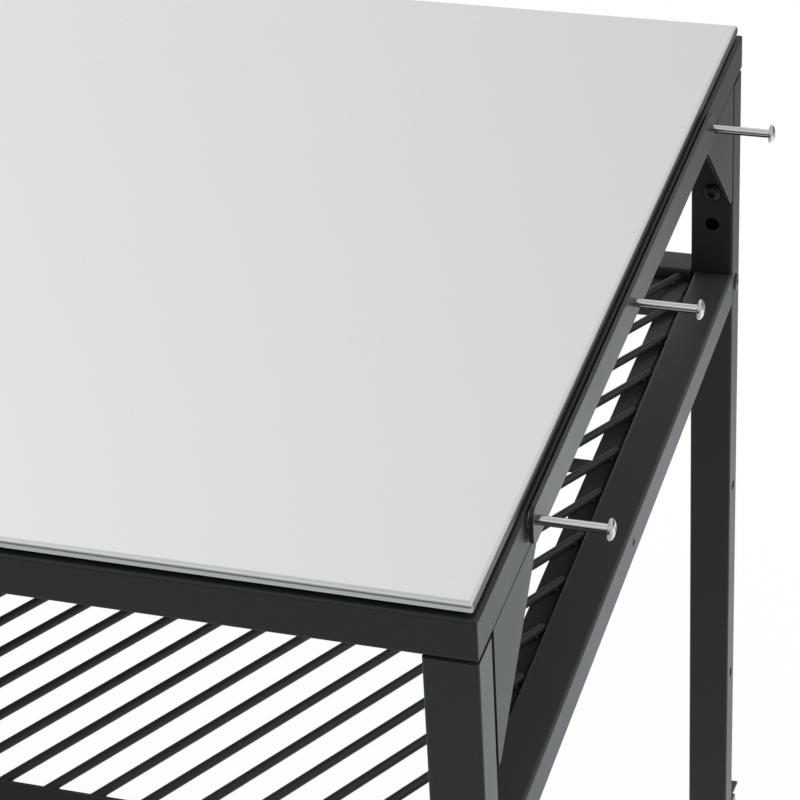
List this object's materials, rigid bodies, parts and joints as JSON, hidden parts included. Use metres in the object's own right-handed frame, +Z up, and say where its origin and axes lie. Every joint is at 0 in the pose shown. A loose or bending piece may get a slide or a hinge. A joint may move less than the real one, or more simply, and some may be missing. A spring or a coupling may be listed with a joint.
{
  "type": "outdoor oven table",
  "caption": "Rolling steel table for an outdoor oven: folded steel top, black tube frame, slatted shelf held by bolts, side rack with pegs, swivel casters.",
  "frame": {"origin": "on the floor, under the middle of the whole object's box, pegs and casters counted", "axes": "+Z up, front faces -Y, hook rack on +X"},
  "size_m": [1.0578, 0.9188, 0.9],
  "materials": {
    "steel_top": "very fine brushed stainless steel, satin",
    "powder_black": "black powder coat, satin, very fine texture",
    "caster_paint": "black paint on pressed steel",
    "polished_screw": "polished stainless steel",
    "black_screw": "black oxide, slightly glossy",
    "zinc": "bright zinc plate",
    "board": "sealed moisture-resistant board",
    "pad_rubber": "matt rubber strip",
    "plug_plastic": "moulded nylon, fine grain",
    "tyre_rubber": "matt grey-black solid rubber",
    "pedal_plastic": "moulded nylon"
  },
  "bodies": {
    "root": {"apron_front": "powder_black", "apron_back": "powder_black", "apron_left": "powder_black", "apron_right": "powder_black", "top_crossbar_left": "powder_black", "top_crossbar_right": "powder_black", "worktop_sheet": "steel_top", "worktop_board": "board", "worktop_pads": "pad_rubber", "leg_front_left": "powder_black", "leg_front_right": "powder_black", "leg_back_left": "powder_black", "leg_back_right": "powder_black", "corner_stubs": "powder_black", "leg_bolts": "black_screw", "shelf_screws": "black_screw", "gusset_left_front": "powder_black", "gusset_left_back": "powder_black", "gusset_right_front": "powder_black", "gusset_right_back": "powder_black", "gusset_back_left": "powder_black", "gusset_back_right": "powder_black", "leg_plugs": "plug_plastic", "shelf_rail_front": "powder_black", "shelf_rail_back": "powder_black", "shelf_rail_left": "powder_black", "shelf_rail_right": "powder_black", "shelf_rods": "powder_black", "shelf_bar": "powder_black", "rack_plate": "powder_black", "rack_pegs": "polished_screw", "rack_nuts": "zinc", "caster_stems": "zinc"},
    "caster_swivel_front_left": {"caster_fork_front_left": "caster_paint"},
    "caster_wheel_front_left": {"caster_wheel_front_left": "tyre_rubber"},
    "caster_brake_front_left": {"caster_pedal_front_left": "pedal_plastic"},
    "caster_swivel_front_right": {"caster_fork_front_right": "caster_paint"},
    "caster_wheel_front_right": {"caster_wheel_front_right": "tyre_rubber"},
    "caster_brake_front_right": {"caster_pedal_front_right": "pedal_plastic"},
    "caster_swivel_back_left": {"caster_fork_back_left": "caster_paint"},
    "caster_wheel_back_left": {"caster_wheel_back_left": "tyre_rubber"},
    "caster_brake_back_left": {"caster_pedal_back_left": "pedal_plastic"},
    "caster_swivel_back_right": {"caster_fork_back_right": "caster_paint"},
    "caster_wheel_back_right": {"caster_wheel_back_right": "tyre_rubber"},
    "caster_brake_back_right": {"caster_pedal_back_right": "pedal_plastic"}
  },
  "joints": [
    {"name": "swivel_front_left", "type": "hinge", "parent": "root", "child": "caster_swivel_front_left", "pos_m": [-0.50705, -0.385, 0.09], "axis": [0, 0, 1], "continuous": true},
    {"name": "wheel_spin_front_left", "type": "hinge", "parent": "caster_swivel_front_left", "child": "caster_wheel_front_left", "pos_m": [-0.50705, -0.411, 0.0375], "axis": [1, 0, 0], "continuous": true},
    {"name": "brake_pedal_front_left", "type": "hinge", "parent": "caster_swivel_front_left", "child": "caster_brake_front_left", "pos_m": [-0.50705, -0.426, 0.07833], "axis": [1, 0, 0], "range_deg": [0, 12]},
    {"name": "swivel_front_right", "type": "hinge", "parent": "root", "child": "caster_swivel_front_right", "pos_m": [0.45795, -0.385, 0.09], "axis": [0, 0, 1], "continuous": true},
    {"name": "wheel_spin_front_right", "type": "hinge", "parent": "caster_swivel_front_right", "child": "caster_wheel_front_right", "pos_m": [0.45795, -0.411, 0.0375], "axis": [1, 0, 0], "continuous": true},
    {"name": "brake_pedal_front_right", "type": "hinge", "parent": "caster_swivel_front_right", "child": "caster_brake_front_right", "pos_m": [0.45795, -0.426, 0.07833], "axis": [1, 0, 0], "range_deg": [0, 12]},
    {"name": "swivel_back_left", "type": "hinge", "parent": "root", "child": "caster_swivel_back_left", "pos_m": [-0.50705, 0.385, 0.09], "axis": [0, 0, 1], "continuous": true},
    {"name": "wheel_spin_back_left", "type": "hinge", "parent": "caster_swivel_back_left", "child": "caster_wheel_back_left", "pos_m": [-0.50705, 0.411, 0.0375], "axis": [1, 0, 0], "continuous": true},
    {"name": "brake_pedal_back_left", "type": "hinge", "parent": "caster_swivel_back_left", "child": "caster_brake_back_left", "pos_m": [-0.50705, 0.426, 0.07833], "axis": [-1, 0, 0], "range_deg": [0, 12]},
    {"name": "swivel_back_right", "type": "hinge", "parent": "root", "child": "caster_swivel_back_right", "pos_m": [0.45795, 0.385, 0.09], "axis": [0, 0, 1], "continuous": true},
    {"name": "wheel_spin_back_right", "type": "hinge", "parent": "caster_swivel_back_right", "child": "caster_wheel_back_right", "pos_m": [0.45795, 0.411, 0.0375], "axis": [1, 0, 0], "continuous": true},
    {"name": "brake_pedal_back_right", "type": "hinge", "parent": "caster_swivel_back_right", "child": "caster_brake_back_right", "pos_m": [0.45795, 0.426, 0.07833], "axis": [-1, 0, 0], "range_deg": [0, 12]}
  ]
}
